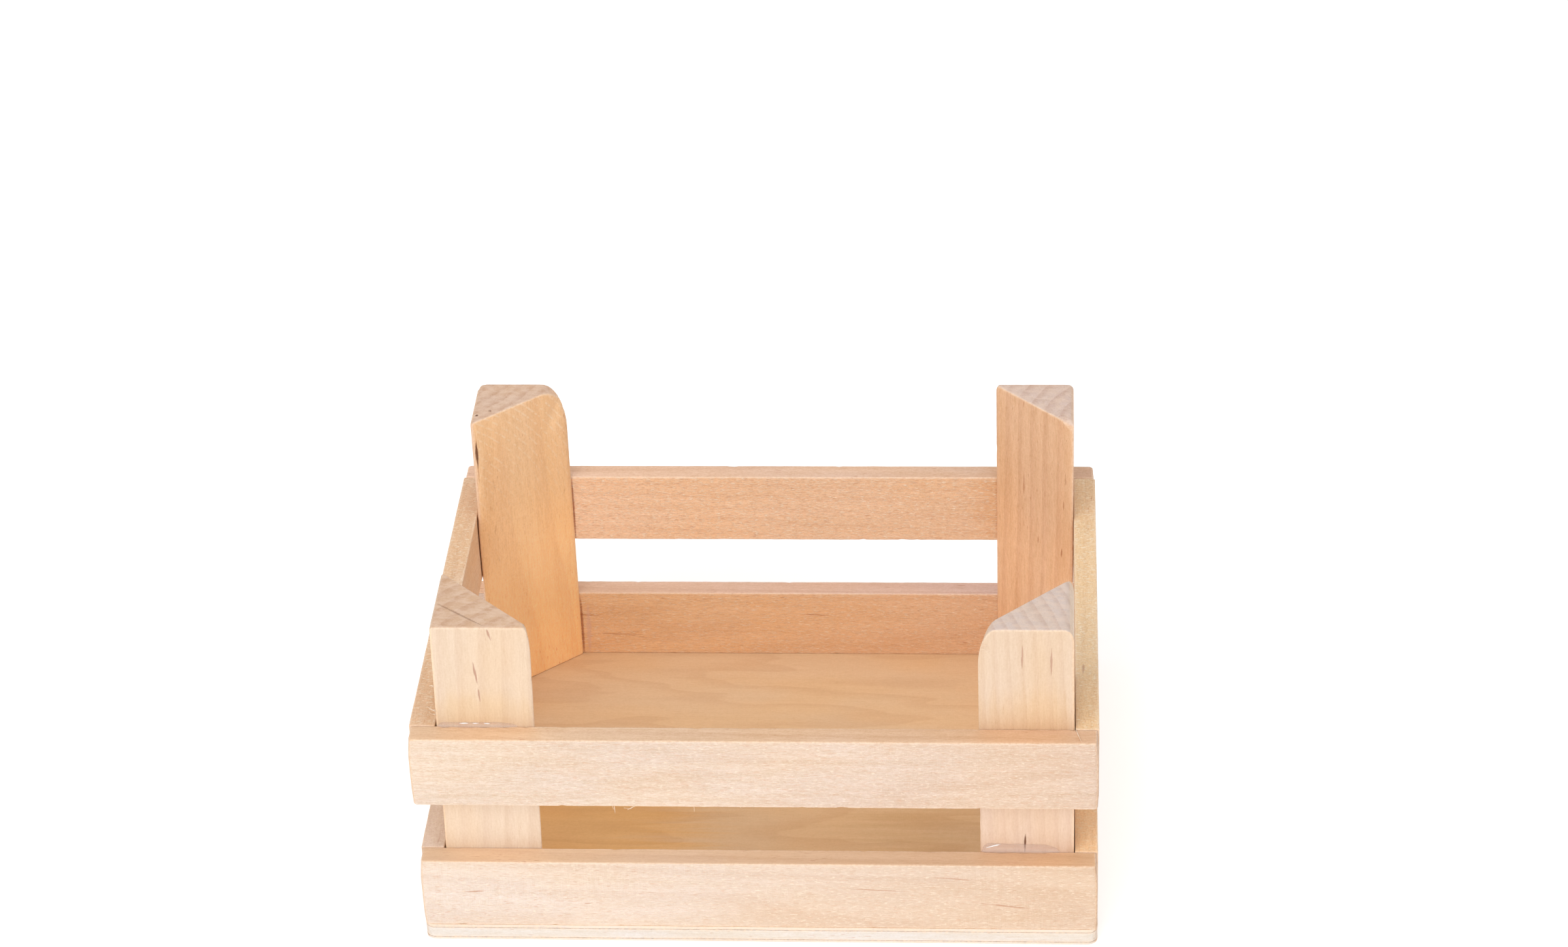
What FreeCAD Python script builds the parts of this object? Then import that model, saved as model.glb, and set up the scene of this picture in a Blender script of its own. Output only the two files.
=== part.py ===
import FreeCAD, Part
import Sketcher
import os

# Small slatted fruit crate in pale wood: a three-ply plywood base, four triangular
# corner posts, and two rings of slats glued to the outside of the posts. Three beads of
# dried glue stand in the corners where it squeezed out.
# Origin: centre of the underside. +X along the length, +Y to the back, +Z up. Millimetres.

DIMENSIONS = [
    # alias, value, note
    ("crate_length", 130.0, "over the ends of the long slats"),
    ("crate_width", 95.0, "over the outer faces of the long slats"),
    ("bottom_ply", 0.55, "thickness of the outer veneer"),
    ("core_ply", 2.3, "thickness of the core"),
    ("top_ply", 0.75, "thickness of the floor veneer"),
    ("base_corner", 2.0, "corner radius of the base in plan"),
    ("slat_thickness", 4.5, "every slat"),
    ("slat_width", 15.4, "height of a slat standing on its edge"),
    ("slat_gap", 13.6, "open space between the lower and the upper ring"),
    ("end_round", 0.9, "outer upright corners of the long slats, sanded"),
    ("edge_break", 0.3, "light sanding of the other slat edges"),
    ("post_top", 70.6, "height of the post tops above the underside"),
    ("post_wear", 0.3, "rounding of the two thin upright edges of a post"),
    ("front_left_leg_x", 19.1, "post leg along the length"),
    ("front_left_leg_y", 18.3, "post leg along the width"),
    ("front_left_lean", 1.2, "inward lean of the post top along X"),
    ("front_right_leg_x", 18.3, "post leg along the length"),
    ("front_right_leg_y", 17.4, "post leg along the width"),
    ("front_right_lean", 0.3, "inward lean of the post top along X"),
    ("back_left_leg_x", 18.2, "post leg along the length"),
    ("back_left_leg_y", 15.5, "post leg along the width"),
    ("back_left_lean", 0.2, "inward lean of the post top along X"),
    ("back_right_leg_x", 16.0, "post leg along the length"),
    ("back_right_leg_y", 15.9, "post leg along the width"),
    ("back_right_lean", 0.0, "inward lean of the post top along X"),
    ("glue_leg", 0.8, "size of a glue bead in section"),
    ("upper_glue_length", 15.4, "bead on the upper front slat, at the left post"),
    ("upper_glue_inset", 0.9, "from that post's outer edge to the bead"),
    ("lower_glue_length", 15.0, "bead on the lower front slat, at the right post"),
    ("lower_glue_inset", 2.7, "from that post's outer edge to the bead"),
    ("glue_run_length", 10.0, "run of glue down the back left post"),
    ("glue_run_inset", 0.4, "from that post's thin edge to the run"),
]

# Lengths worked out from the sheet, as text for expressions.
HALF_LENGTH = "Dimensions.crate_length / 2"
HALF_WIDTH = "Dimensions.crate_width / 2"
THICKNESS = "Dimensions.slat_thickness"
CORE_LEVEL = "Dimensions.bottom_ply"
TOP_PLY_LEVEL = "Dimensions.bottom_ply + Dimensions.core_ply"
FLOOR_LEVEL = f"{TOP_PLY_LEVEL} + Dimensions.top_ply"
LOWER_SLAT_TOP = f"{FLOOR_LEVEL} + Dimensions.slat_width"
UPPER_LEVEL = f"{LOWER_SLAT_TOP} + Dimensions.slat_gap"
UPPER_SLAT_TOP = f"{UPPER_LEVEL} + Dimensions.slat_width"
SHORT_LENGTH = f"Dimensions.crate_width - 2 * {THICKNESS}"

# The four posts: sign of X, sign of Y, turn about Z that points local +X and +Y inwards.
POSTS = {
    "front_left": (-1, -1, 0),
    "front_right": (1, -1, 90),
    "back_right": (1, 1, 180),
    "back_left": (-1, 1, 270),
}

UP = FreeCAD.Vector(0, 0, 1)
LEFT = FreeCAD.Vector(-1, 0, 0)
FORWARD = FreeCAD.Vector(0, -1, 0)
BACK = FreeCAD.Vector(0, 1, 0)
SAME = 1e-4


def make_sheet(doc):
    """Put the driving dimensions in a spreadsheet, one alias a row."""
    sheet = doc.addObject("Spreadsheet::Sheet", "Dimensions")
    for row, (alias, value, note) in enumerate(DIMENSIONS, start=1):
        sheet.set(f"A{row}", alias)
        sheet.set(f"B{row}", str(value))
        sheet.set(f"C{row}", note)
        sheet.setAlias(f"B{row}", alias)
    doc.recompute()


def make_body(doc, label, place, rotation=FreeCAD.Rotation()):
    """A body with a rotation, its origin held at x, y and z by expressions."""
    body = doc.addObject("PartDesign::Body", label)
    body.Label = label
    body.Placement = FreeCAD.Placement(FreeCAD.Vector(), rotation)
    for axis, expression in zip("xyz", place):
        body.setExpression(f"Placement.Base.{axis}", expression)
    return body


def make_outline(body, corners):
    """A closed outline in the body's XY plane.

    Each corner is (x, y): None where it lies on the axis, or an expression for its
    distance from the origin.
    """
    sketch = body.newObject("Sketcher::SketchObject", f"{body.Label}_outline")
    planes = {feature.Role: feature for feature in body.Origin.OriginFeatures}
    sketch.AttachmentSupport = [(planes["XY_Plane"], "")]
    sketch.MapMode = "FlatFace"
    start_size = 10.0
    points = [FreeCAD.Vector(*(start_size if held else 0.0 for held in corner)) for corner in corners]
    for index, point in enumerate(points):
        next_point = points[(index + 1) % len(points)]
        sketch.addGeometry(Part.LineSegment(point, next_point), False)
    for index, corner in enumerate(corners):
        previous = (index - 1) % len(corners)
        sketch.addConstraint(Sketcher.Constraint("Coincident", previous, 2, index, 1))
        for kind, axis_line, expression in zip(("DistanceX", "DistanceY"), (-2, -1), corner):
            if expression is None:
                sketch.addConstraint(Sketcher.Constraint("PointOnObject", index, 1, axis_line))
            else:
                held = Sketcher.Constraint(kind, -1, 1, index, 1, start_size)
                number = sketch.addConstraint(held)
                sketch.setExpression(f"Constraints[{number}]", expression)
    return sketch


def make_pad(body, sketch, height):
    """Raise the outline by a height given as an expression."""
    pad = body.newObject("PartDesign::Pad", f"{body.Label}_pad")
    pad.Profile = sketch
    pad.setExpression("Length", height)
    body.Document.recompute()
    return pad


def round_edges(body, base, name, radius, chosen):
    """Fillet the edges of a feature whose two ends pass a test."""
    picked = []
    for number, edge in enumerate(base.Shape.Edges, start=1):
        start, end = (vertex.Point for vertex in (edge.firstVertex(), edge.lastVertex()))
        if chosen(start, end):
            picked.append(f"Edge{number}")
    if not picked:
        raise RuntimeError(f"{body.Label}: no edge to round")
    fillet = body.newObject("PartDesign::Fillet", f"{body.Label}_{name}")
    fillet.Base = (base, picked)
    fillet.setExpression("Radius", radius)
    body.Document.recompute()
    if fillet.Shape.isNull() or fillet.Shape.Volume >= base.Shape.Volume:
        raise RuntimeError(f"{body.Label}: {name} removed nothing")
    return fillet


def is_upright(start, end):
    """Whether an edge stands along Z."""
    return abs(start.x - end.x) < SAME and abs(start.y - end.y) < SAME


def rectangle(length, width):
    """Corners of a rectangle whose first corner is the origin."""
    return [(None, None), (length, None), (length, width), (None, width)]


def right_triangle(leg_x, leg_y):
    """Corners of a right triangle whose right angle is the origin."""
    return [(None, None), (leg_x, None), (None, leg_y)]


def make_ply(doc, label, level, thickness):
    """One ply of the base, its four corners rounded in plan."""
    place = (f"-{HALF_LENGTH}", f"-{HALF_WIDTH}", level)
    body = make_body(doc, label, place)
    outline = make_outline(body, rectangle("Dimensions.crate_length", "Dimensions.crate_width"))
    pad = make_pad(body, outline, thickness)
    round_edges(body, pad, "corners", "Dimensions.base_corner", is_upright)
    return body


def make_long_slat(doc, label, level, side):
    """A slat along the front (side -1) or the back (side 1), full length."""
    outer_face = f"-{HALF_WIDTH}" if side < 0 else f"{HALF_WIDTH} - {THICKNESS}"
    body = make_body(doc, label, (f"-{HALF_LENGTH}", outer_face, level))
    outline = make_outline(body, rectangle("Dimensions.crate_length", THICKNESS))
    pad = make_pad(body, outline, "Dimensions.slat_width")
    outer_y = pad.Shape.BoundBox.YMin if side < 0 else pad.Shape.BoundBox.YMax

    def outer_corner(start, end):
        return is_upright(start, end) and abs(start.y - outer_y) < SAME

    rounded = round_edges(body, pad, "ends", "Dimensions.end_round", outer_corner)
    break_long_edges(body, rounded)
    return body


def make_short_slat(doc, label, level, side):
    """A slat along the left (side -1) or the right (side 1), between the long slats."""
    outer_face = f"-{HALF_LENGTH}" if side < 0 else f"{HALF_LENGTH} - {THICKNESS}"
    body = make_body(doc, label, (outer_face, f"{THICKNESS} - {HALF_WIDTH}", level))
    outline = make_outline(body, rectangle(THICKNESS, SHORT_LENGTH))
    pad = make_pad(body, outline, "Dimensions.slat_width")
    break_long_edges(body, pad)
    return body


def break_long_edges(body, base):
    """Take the sharpness off the long edges at the top and bottom of a slat."""
    long_edge = 0.5 * max(base.Shape.BoundBox.XLength, base.Shape.BoundBox.YLength)

    def is_long(start, end):
        return start.distanceToPoint(end) > long_edge

    round_edges(body, base, "edges", "Dimensions.edge_break", is_long)


def make_post(doc, corner):
    """A triangular post, its right angle in the corner between two slats."""
    x_side, y_side, turn = POSTS[corner]
    place = (
        f"{x_side} * ({HALF_LENGTH} - {THICKNESS})",
        f"{y_side} * ({HALF_WIDTH} - {THICKNESS})",
        FLOOR_LEVEL,
    )
    body = make_body(doc, f"post_{corner}", place, FreeCAD.Rotation(UP, turn))
    legs = [f"Dimensions.{corner}_leg_x", f"Dimensions.{corner}_leg_y"]
    turned_across = turn % 180 != 0
    if turned_across:
        legs.reverse()
    outline = make_outline(body, right_triangle(*legs))
    pad = make_pad(body, outline, f"Dimensions.post_top - ({FLOOR_LEVEL})")
    lean_axis = "y" if turned_across else "x"
    pad.UseCustomVector = True
    pad.AlongSketchNormal = True
    pad.setExpression("Direction.z", f"Dimensions.post_top - ({FLOOR_LEVEL})")
    pad.setExpression(f"Direction.{lean_axis}", f"Dimensions.{corner}_lean")
    doc.recompute()
    half_height = 0.5 * pad.Shape.BoundBox.ZLength

    def is_thin_edge(start, end):
        low = min(start, end, key=lambda point: point.z)
        return abs(start.z - end.z) > half_height and low.x + low.y > 1.0

    round_edges(body, pad, "wear", "Dimensions.post_wear", is_thin_edge)
    return body


def make_glue(doc, label, place, axes, length):
    """A bead of glue: a right triangle in the first two axes, drawn out along the third."""
    rotation = FreeCAD.Rotation(*axes, "XYZ")
    body = make_body(doc, label, place, rotation)
    outline = make_outline(body, right_triangle("Dimensions.glue_leg", "Dimensions.glue_leg"))
    make_pad(body, outline, length)
    return body


def make_glue_beads(doc):
    """The two beads on the front slats and the run down the back left post."""
    inner_face = f"{THICKNESS} - {HALF_WIDTH}"
    inner_end = f"({HALF_LENGTH} - {THICKNESS})"
    left_start = f"Dimensions.upper_glue_inset + Dimensions.upper_glue_length - {inner_end}"
    right_start = f"{inner_end} - Dimensions.lower_glue_inset"
    run_y = f"{HALF_WIDTH} - {THICKNESS} - Dimensions.back_left_leg_y + Dimensions.glue_run_inset"
    along_slat = (FORWARD, UP, LEFT)
    down_post = (LEFT, BACK, -UP)
    return [
        make_glue(doc, "glue_front_left", (left_start, inner_face, UPPER_SLAT_TOP), along_slat,
                  "Dimensions.upper_glue_length"),
        make_glue(doc, "glue_front_right", (right_start, inner_face, LOWER_SLAT_TOP), along_slat,
                  "Dimensions.lower_glue_length"),
        make_glue(doc, "glue_back_left",
                  (f"-{inner_end}", run_y, f"{LOWER_SLAT_TOP} + Dimensions.glue_run_length"), down_post,
                  "Dimensions.glue_run_length"),
    ]


def build(doc):
    """Every sub-part of the crate, from the base up."""
    make_sheet(doc)
    parts = [
        make_ply(doc, "base_bottom_ply", "0", "Dimensions.bottom_ply"),
        make_ply(doc, "base_core_ply", CORE_LEVEL, "Dimensions.core_ply"),
        make_ply(doc, "base_top_ply", TOP_PLY_LEVEL, "Dimensions.top_ply"),
    ]
    parts += [make_post(doc, corner) for corner in POSTS]
    for ring, level in (("lower", FLOOR_LEVEL), ("upper", UPPER_LEVEL)):
        parts.append(make_long_slat(doc, f"{ring}_front_slat", level, -1))
        parts.append(make_long_slat(doc, f"{ring}_back_slat", level, 1))
        parts.append(make_short_slat(doc, f"{ring}_left_slat", level, -1))
        parts.append(make_short_slat(doc, f"{ring}_right_slat", level, 1))
    parts += make_glue_beads(doc)
    doc.recompute()
    return parts


def check(doc, parts):
    """Stop if any object failed or any sub-part has no sound solid."""
    for thing in doc.Objects:
        if "Invalid" in thing.State or "Error" in thing.State:
            raise RuntimeError(f"{thing.Name}: {thing.State}")
    for part in parts:
        shape = part.Shape
        if shape.isNull() or not shape.isValid() or len(shape.Solids) != 1:
            raise RuntimeError(f"{part.Label}: no sound solid")


def export(parts):
    """Write each sub-part to its own STEP file."""
    os.makedirs("parts", exist_ok=True)
    for part in parts:
        part.Shape.exportStep(f"parts/{part.Label}.step")
        box = part.Shape.BoundBox
        print(f"{part.Label}: {box.XMin:.2f}..{box.XMax:.2f}, {box.YMin:.2f}..{box.YMax:.2f}, "
              f"{box.ZMin:.2f}..{box.ZMax:.2f}, {part.Shape.Volume:.0f} mm3")


document = FreeCAD.newDocument("crate")
crate_parts = build(document)
check(document, crate_parts)
export(crate_parts)
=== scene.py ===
import math
from functools import partial

import bpy
import numpy as np
from mathutils import Matrix, Vector, noise


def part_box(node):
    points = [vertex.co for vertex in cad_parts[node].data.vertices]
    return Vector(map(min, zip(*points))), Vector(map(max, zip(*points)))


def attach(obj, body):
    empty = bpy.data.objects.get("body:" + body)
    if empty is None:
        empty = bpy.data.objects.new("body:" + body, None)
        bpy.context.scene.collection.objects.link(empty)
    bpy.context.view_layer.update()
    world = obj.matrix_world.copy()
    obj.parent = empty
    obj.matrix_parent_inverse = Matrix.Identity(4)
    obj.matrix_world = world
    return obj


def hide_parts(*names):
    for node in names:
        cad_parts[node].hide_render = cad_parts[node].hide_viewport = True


# A small slatted fruit crate of pale wood: a three-ply base, four corner posts and eight slats, glued.
# Sizes are in millimetres. A mesh becomes metres when it is made, and a place comes from its CAD node.

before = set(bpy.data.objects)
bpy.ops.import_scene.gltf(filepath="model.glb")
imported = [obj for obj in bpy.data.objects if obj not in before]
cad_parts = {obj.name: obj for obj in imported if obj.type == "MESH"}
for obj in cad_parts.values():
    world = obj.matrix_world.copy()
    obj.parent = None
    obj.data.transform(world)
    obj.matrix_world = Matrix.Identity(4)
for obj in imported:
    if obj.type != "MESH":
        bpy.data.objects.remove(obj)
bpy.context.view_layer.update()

MM = 0.001
X, Y, Z = 0, 1, 2
TINY = 1e-9


# ---- meshes

# Distances in from an end, in millimetres, where a mesh gets its closer grid lines.
EDGE_LINES = np.array([0.0, 0.1, 0.22, 0.4, 0.8])
ROUND_LINES = np.array([0.0, 0.12, 0.28, 0.5, 0.8, 1.2, 1.7, 2.3])
SHOULDER_LINES = np.array([0.0, 0.1, 0.22, 0.4, 0.7, 1.1, 1.6, 2.2, 2.9, 3.7, 4.6])
SLAT_DEPTH_LINES = ROUND_LINES[:6]
VENEER_LINES = np.array([0.0, 0.05, 0.12])

# How much larger an upright corner's radius is, at the least, than the radius of the other edges.
CORNER_SPARE = 0.02


def grid_lines(low, high, step, near_edge, far_edge=None):
    """Grid lines from low to high: the given distances in from each end, and evenly spaced between them."""
    far_edge = near_edge if far_edge is None else far_edge
    start = low + near_edge
    end = high - far_edge[::-1]
    count = max(1, round((end[0] - start[-1]) / step))
    middle = start[-1] + (end[0] - start[-1]) * np.arange(1, count) / count
    return np.concatenate([start, middle, end])


def lattice(*lines):
    """The closed surface of a block: a point wherever three grid lines meet on it, and the faces between."""
    last = [len(row) - 1 for row in lines]
    found = {}
    faces = []
    for axis in (X, Y, Z):
        across, up = (axis + 1) % 3, (axis + 2) % 3
        for side in (0, last[axis]):
            for i in range(last[across]):
                for j in range(last[up]):
                    corners = []
                    for right, top in ((0, 0), (1, 0), (1, 1), (0, 1)):
                        place = [0, 0, 0]
                        place[axis] = side
                        place[across] = i + right
                        place[up] = j + top
                        corners.append(found.setdefault(tuple(place), len(found)))
                    faces.append(corners if side else corners[::-1])
    points = [[row[i] for row, i in zip(lines, place)] for place in found]
    return np.array(points, float), faces


# How far the noise moves from one seed to the next, along each axis.
SEED_STEPS = (7.3, 3.1, 5.7)


def ripple(points, size, seed):
    """Smooth noise from -1 to 1 at each point, with features of about the given size."""
    shift = Vector([step * seed for step in SEED_STEPS])
    return np.array([noise.noise(Vector(p) / size + shift) for p in points])


def block_share(points, low, high):
    """Each point's place in a block, from -1 to 1 along each axis."""
    middle = (low + high) / 2
    return (points - middle) / (high - middle)


def box_inside(level, inset, low, high):
    """The nearest points of a rectangle that is shrunk by the inset."""
    return np.clip(level, low[:2] + inset[:, None], high[:2] - inset[:, None])


def nearest_on_line(points, start, end):
    """The nearest points of the straight line from start to end, each with its own ends."""
    along = end - start
    share = np.sum((points - start) * along, axis=1) / np.sum(along * along, axis=1)
    return start + along * np.clip(share, 0, 1)[:, None]


def triangle_inside(level, inset, legs):
    """The nearest points of a right-angled triangle that is shrunk by the inset."""
    hypotenuse = math.hypot(*legs)
    corner = np.stack([inset, inset], axis=1)
    tip_x = np.stack([legs[0] - inset * (hypotenuse + legs[0]) / legs[1], inset], axis=1)
    tip_y = np.stack([inset, legs[1] - inset * (hypotenuse + legs[1]) / legs[0]], axis=1)
    slack = 1 - level[:, 0] / legs[0] - level[:, 1] / legs[1] - inset * hypotenuse / legs[0] / legs[1]
    outside = (level.min(axis=1) < inset - TINY) | (slack < -TINY)
    best = level.copy()
    distance = np.where(outside, np.inf, 0.0)
    for start, end in ((corner, tip_x), (tip_x, tip_y), (tip_y, corner)):
        near = nearest_on_line(level, start, end)
        gap = np.linalg.norm(near - level, axis=1)
        closer = gap < distance
        best[closer] = near[closer]
        distance = np.minimum(distance, gap)
    return best


def soften(points, inside, bottom, top, corner, radius):
    """Rounds a prism's edges by the radius, and its upright corners by the corner radius.
    inside gives the nearest points of the prism's outline, shrunk by an inset."""
    level = points[:, :2]
    centre = inside(level, corner)
    away = level - centre
    length = np.maximum(np.linalg.norm(away, axis=1), TINY)
    reach = np.minimum(1.0, (corner - radius) / length)
    height = np.clip(points[:, Z], bottom + radius, top - radius)
    core = np.column_stack([centre + away * reach[:, None], height])
    out = points - core
    return core + out * (radius / np.linalg.norm(out, axis=1))[:, None]


def soften_block(points, low, high, corner, radius):
    """The same for a block, from its low and high corners."""
    return soften(points, partial(box_inside, low=low, high=high), low[Z], high[Z], corner, radius)


def shoulder(across, down, width, height):
    """Distances in from a corner's two sides, moved on to an elliptical shoulder of that width and height."""
    u = np.clip(1 - across / width, 0, None)
    v = np.clip(1 - down / height, 0, None)
    both = (u > 0) & (v > 0)
    squeeze = np.maximum(u, v) / np.maximum(np.hypot(u, v), TINY)
    moved_across = np.where(both, width * (1 - u * squeeze), across)
    moved_down = np.where(both, height * (1 - v * squeeze), down)
    return moved_across, moved_down


def edge_distance(*depths):
    """How far each surface point is from the nearest edge, from its depth below each of the sides."""
    return np.sort(np.stack(depths, axis=1), axis=1)[:, 1]


def block_edge_distance(points, low, high):
    """The same for the points of a block, from its low and high corners."""
    return edge_distance(*np.minimum(points - low, high - points).T)


def smoothstep(value, start, end):
    """0 below start, 1 above end, and a smooth rise between them."""
    share = np.clip((value - start) / (end - start), 0, 1)
    return share * share * (3 - 2 * share)


# How squarely a point must face a side to begin to count as on it, and to count fully.
SAWN_FACING = (0.75, 0.95)
END_FACING = (0.55, 0.85)
# How far in from an edge, in millimetres, the pale edges reach: rubbed wear and a painted highlight.
EDGE_WEAR_AND_HIGHLIGHT_REACH = 0.55


def add_object(name, data):
    """A new object in the scene."""
    made = bpy.data.objects.new(name, data)
    bpy.context.scene.collection.objects.link(made)
    return made


def make_mesh(name, points, faces, material, nodes):
    """A smooth-shaded piece in metres that rides on the crate and stands for its CAD nodes."""
    mesh = bpy.data.meshes.new(name)
    mesh.from_pydata((points * MM).tolist(), [], faces)
    mesh.polygons.foreach_set("use_smooth", [True] * len(faces))
    mesh.update()
    piece = add_object(name, mesh)
    mesh.materials.append(material)
    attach(piece, "root")
    if nodes:
        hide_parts(*nodes)
    return piece


def add_wood_layers(piece, grain, order, sawn_side, edge_gap):
    """Stores what the wood shader reads. grain: millimetres from the low corner, along the grain first.
    finish: how far the face is a sawn one, how far it is end grain, and how near it is to an edge."""
    mesh = piece.data
    normals = np.zeros(grain.size, np.float32)
    mesh.vertices.foreach_get("normal", normals)
    normals = normals.reshape(-1, 3)
    sawn = smoothstep(np.abs(normals @ np.array(sawn_side, float)), *SAWN_FACING)
    end = smoothstep(np.abs(normals[:, order[0]]), *END_FACING)
    # The third channel marks the pale edges: partly rubbed wear, partly a painted highlight.
    worn = 1 - smoothstep(edge_gap, 0.0, EDGE_WEAR_AND_HIGHLIGHT_REACH)
    for layer, values in (("grain", grain), ("finish", np.column_stack([sawn, end, worn]))):
        attribute = mesh.attributes.new(layer, "FLOAT_VECTOR", "POINT")
        attribute.data.foreach_set("vector", values.astype(np.float32).ravel())


# ---- materials


def tint(red, green, blue):
    """A colour given as 0 to 255 display values, for a shader socket."""
    def linear(value):
        share = value / 255
        return share / 12.92 if share <= 0.04045 else ((share + 0.055) / 1.055) ** 2.4
    return linear(red), linear(green), linear(blue), 1.0


def gain(red, green, blue):
    """A colour to multiply by, as linear shares that may be above 1."""
    return red, green, blue, 1.0


# Where a Mix node keeps its share, and the sockets that it uses for colours.
MIX_SHARE, MIX_FIRST, MIX_SECOND = 0, 6, 7
MIX_RESULT = 2


class Shader:
    """A material, with short calls for the nodes that build it."""

    def __init__(self, name):
        self.material = bpy.data.materials.new(name)
        self.material.use_nodes = True
        self.tree = self.material.node_tree
        self.surface = self.tree.nodes["Principled BSDF"]

    def node(self, kind, inputs, **settings):
        made = self.tree.nodes.new("ShaderNode" + kind)
        for key, value in settings.items():
            setattr(made, key, value)
        for key, value in inputs.items():
            self.feed(made.inputs[key], value)
        return made

    def feed(self, socket, value):
        if isinstance(value, bpy.types.NodeSocket):
            self.tree.links.new(value, socket)
        else:
            socket.default_value = value

    def set(self, **inputs):
        for key, value in inputs.items():
            self.feed(self.surface.inputs[key.replace("_", " ")], value)

    def layer(self, name):
        return self.node("Attribute", {}, attribute_name=name).outputs["Vector"]

    def split(self, vector):
        return self.node("SeparateXYZ", {"Vector": vector}).outputs

    def join(self, x, y, z):
        return self.node("CombineXYZ", {"X": x, "Y": y, "Z": z}).outputs[0]

    def calc(self, operation, first, second=0.0):
        return self.node("Math", {0: first, 1: second}, operation=operation).outputs[0]

    def vector(self, operation, *values, result="Vector"):
        return self.node("VectorMath", dict(enumerate(values)), operation=operation).outputs[result]

    def move(self, vector, by):
        return self.vector("ADD", vector, by)

    def scale(self, vector, by):
        return self.vector("MULTIPLY", vector, by)

    def take(self, vector, away):
        return self.vector("SUBTRACT", vector, away)

    def dot(self, vector, other):
        return self.vector("DOT_PRODUCT", vector, other, result="Value")

    def length(self, vector):
        return self.vector("LENGTH", vector, result="Value")

    def noise(self, vector, detail=2.0, roughness=0.5, distortion=0.0):
        inputs = {"Vector": vector, "Scale": 1.0, "Detail": detail}
        inputs.update({"Roughness": roughness, "Distortion": distortion})
        return self.node("TexNoise", inputs).outputs[0]

    def object_place(self):
        """The place in the crate's own frame, in millimetres."""
        place = self.node("TexCoord", {}).outputs["Object"]
        return self.scale(place, (1 / MM, 1 / MM, 1 / MM))

    def fade(self, value, start, end, low=0.0, high=1.0):
        inputs = {"Value": value, "From Min": start, "From Max": end, "To Min": low, "To Max": high}
        return self.node("MapRange", inputs, interpolation_type="SMOOTHSTEP").outputs[0]

    def mix(self, share, first, second, mode="MIX"):
        made = self.node("Mix", {}, data_type="RGBA", blend_type=mode)
        self.feed(made.inputs[MIX_SHARE], share)
        self.feed(made.inputs[MIX_FIRST], first)
        self.feed(made.inputs[MIX_SECOND], second)
        return made.outputs[MIX_RESULT]

    def total(self, *values):
        result = values[0]
        for value in values[1:]:
            result = self.calc("ADD", result, value)
        return result

    def product(self, *values):
        result = values[0]
        for value in values[1:]:
            result = self.calc("MULTIPLY", result, value)
        return result


WHITE = (1.0, 1.0, 1.0, 1.0)
RED_BROWN = tint(176, 104, 66)
DARK_BROWN = tint(104, 60, 36)
MAUVE_BROWN = tint(176, 128, 108)
PALE_SMEAR = tint(226, 184, 166)
COOL_WOOD = tint(255, 248, 238)
ROSY_WOOD = tint(252, 252, 255)
LATE_WOOD = tint(196, 150, 118)
TORN_WOOD = tint(214, 166, 134)
RAISED_FIBRE = tint(255, 236, 214)
CROSS_FIBRE = tint(255, 240, 216)
SAW_FLECK = tint(255, 230, 200)
END_SMEAR = tint(236, 210, 190)
PLY_JOINT = tint(128, 84, 60)
# Pale edges: partly rubbed wear, partly a painted highlight along the edges.
EDGE_WEAR_AND_HIGHLIGHT = tint(246, 220, 194)

# How strongly a change of shade shows in red, green and blue: darker wood is also warmer.
WARMTH = (0.7, 1.0, 1.5)

# How far apart in the noise two boards with neighbouring numbers lie, in millimetres.
BOARD_STEPS = (61.0, 2.3, 1.7)

# The look of a board unless a piece says otherwise: colours of sawn faces, planed sides and end grain,
# lengths in millimetres from the board's low corner, and strengths.
# drift: gains at the low end and at the high end, partly the wood's own tone and partly painted light that
# falls off along the board. stains_and_painted_light: centre, reach and gain of broad areas: real stains,
# painted shade and painted warm reflected light.
# marks: start, end, width, strength and colour of thin lines. joints: levels of dark glue lines.
WOOD = {
    "face": tint(232, 202, 174),
    "side": tint(226, 186, 150),
    "end": tint(213, 180, 151),
    "drift": (gain(1.0, 1.0, 1.0), gain(1.0, 1.0, 1.0)),
    "rings": 0.09,
    "end_rings": 0.22,
    "ring_gap": 2.6,
    "wander": 6.0,
    "heart": (0.0, -34.0, 19.0),
    "streaks": 1.0,
    "fleck": 0.55,
    "fuzz": 1.2,
    "grit": 1.0,
    "rough_side": 0.0,
    "chatter": 0.25,
    "arcs": 0.0,
    "blotch": 0.6,
    "stains_and_painted_light": (),
    "marks": (),
    "joints": (),
}


def board_noise(shader, place, along, across, detail=2.0, roughness=0.5, distortion=0.0):
    """Noise on a board, with how often it changes in a millimetre along the grain and across it."""
    return shader.noise(shader.scale(place, (along, across, across)), detail, roughness, distortion)


def growth_rings(shader, place, look):
    """How dark the late wood is, from 0 to 1: thin lines round the tree's heart, one for each year."""
    wander = board_noise(shader, place, along=0.012, across=0.07, detail=3.0)
    x, y, z = shader.split(shader.move(place, look["heart"]))
    taper = shader.calc("MULTIPLY", x, 0.03)
    radius = shader.length(shader.join(0.0, y, z))
    warped = shader.total(radius, taper, shader.product(wander, look["wander"]))
    season = shader.calc("FRACT", shader.calc("DIVIDE", warped, look["ring_gap"]))
    rise = shader.fade(season, 0.35, 0.9)
    fall = shader.fade(season, 0.92, 1.0, 1.0, 0.0)
    return shader.product(rise, fall)


def fibre_streaks(shader, place):
    """Short streaks along the grain, 0.3 mm wide and finer, and broad soft ones, both centred on 0."""
    fine = board_noise(shader, place, along=0.4, across=3.4, detail=4.0, roughness=0.65)
    broad = board_noise(shader, place, along=0.035, across=0.7, detail=3.0, roughness=0.55)
    return shader.calc("SUBTRACT", fine, 0.5), shader.calc("SUBTRACT", broad, 0.5)


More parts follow.
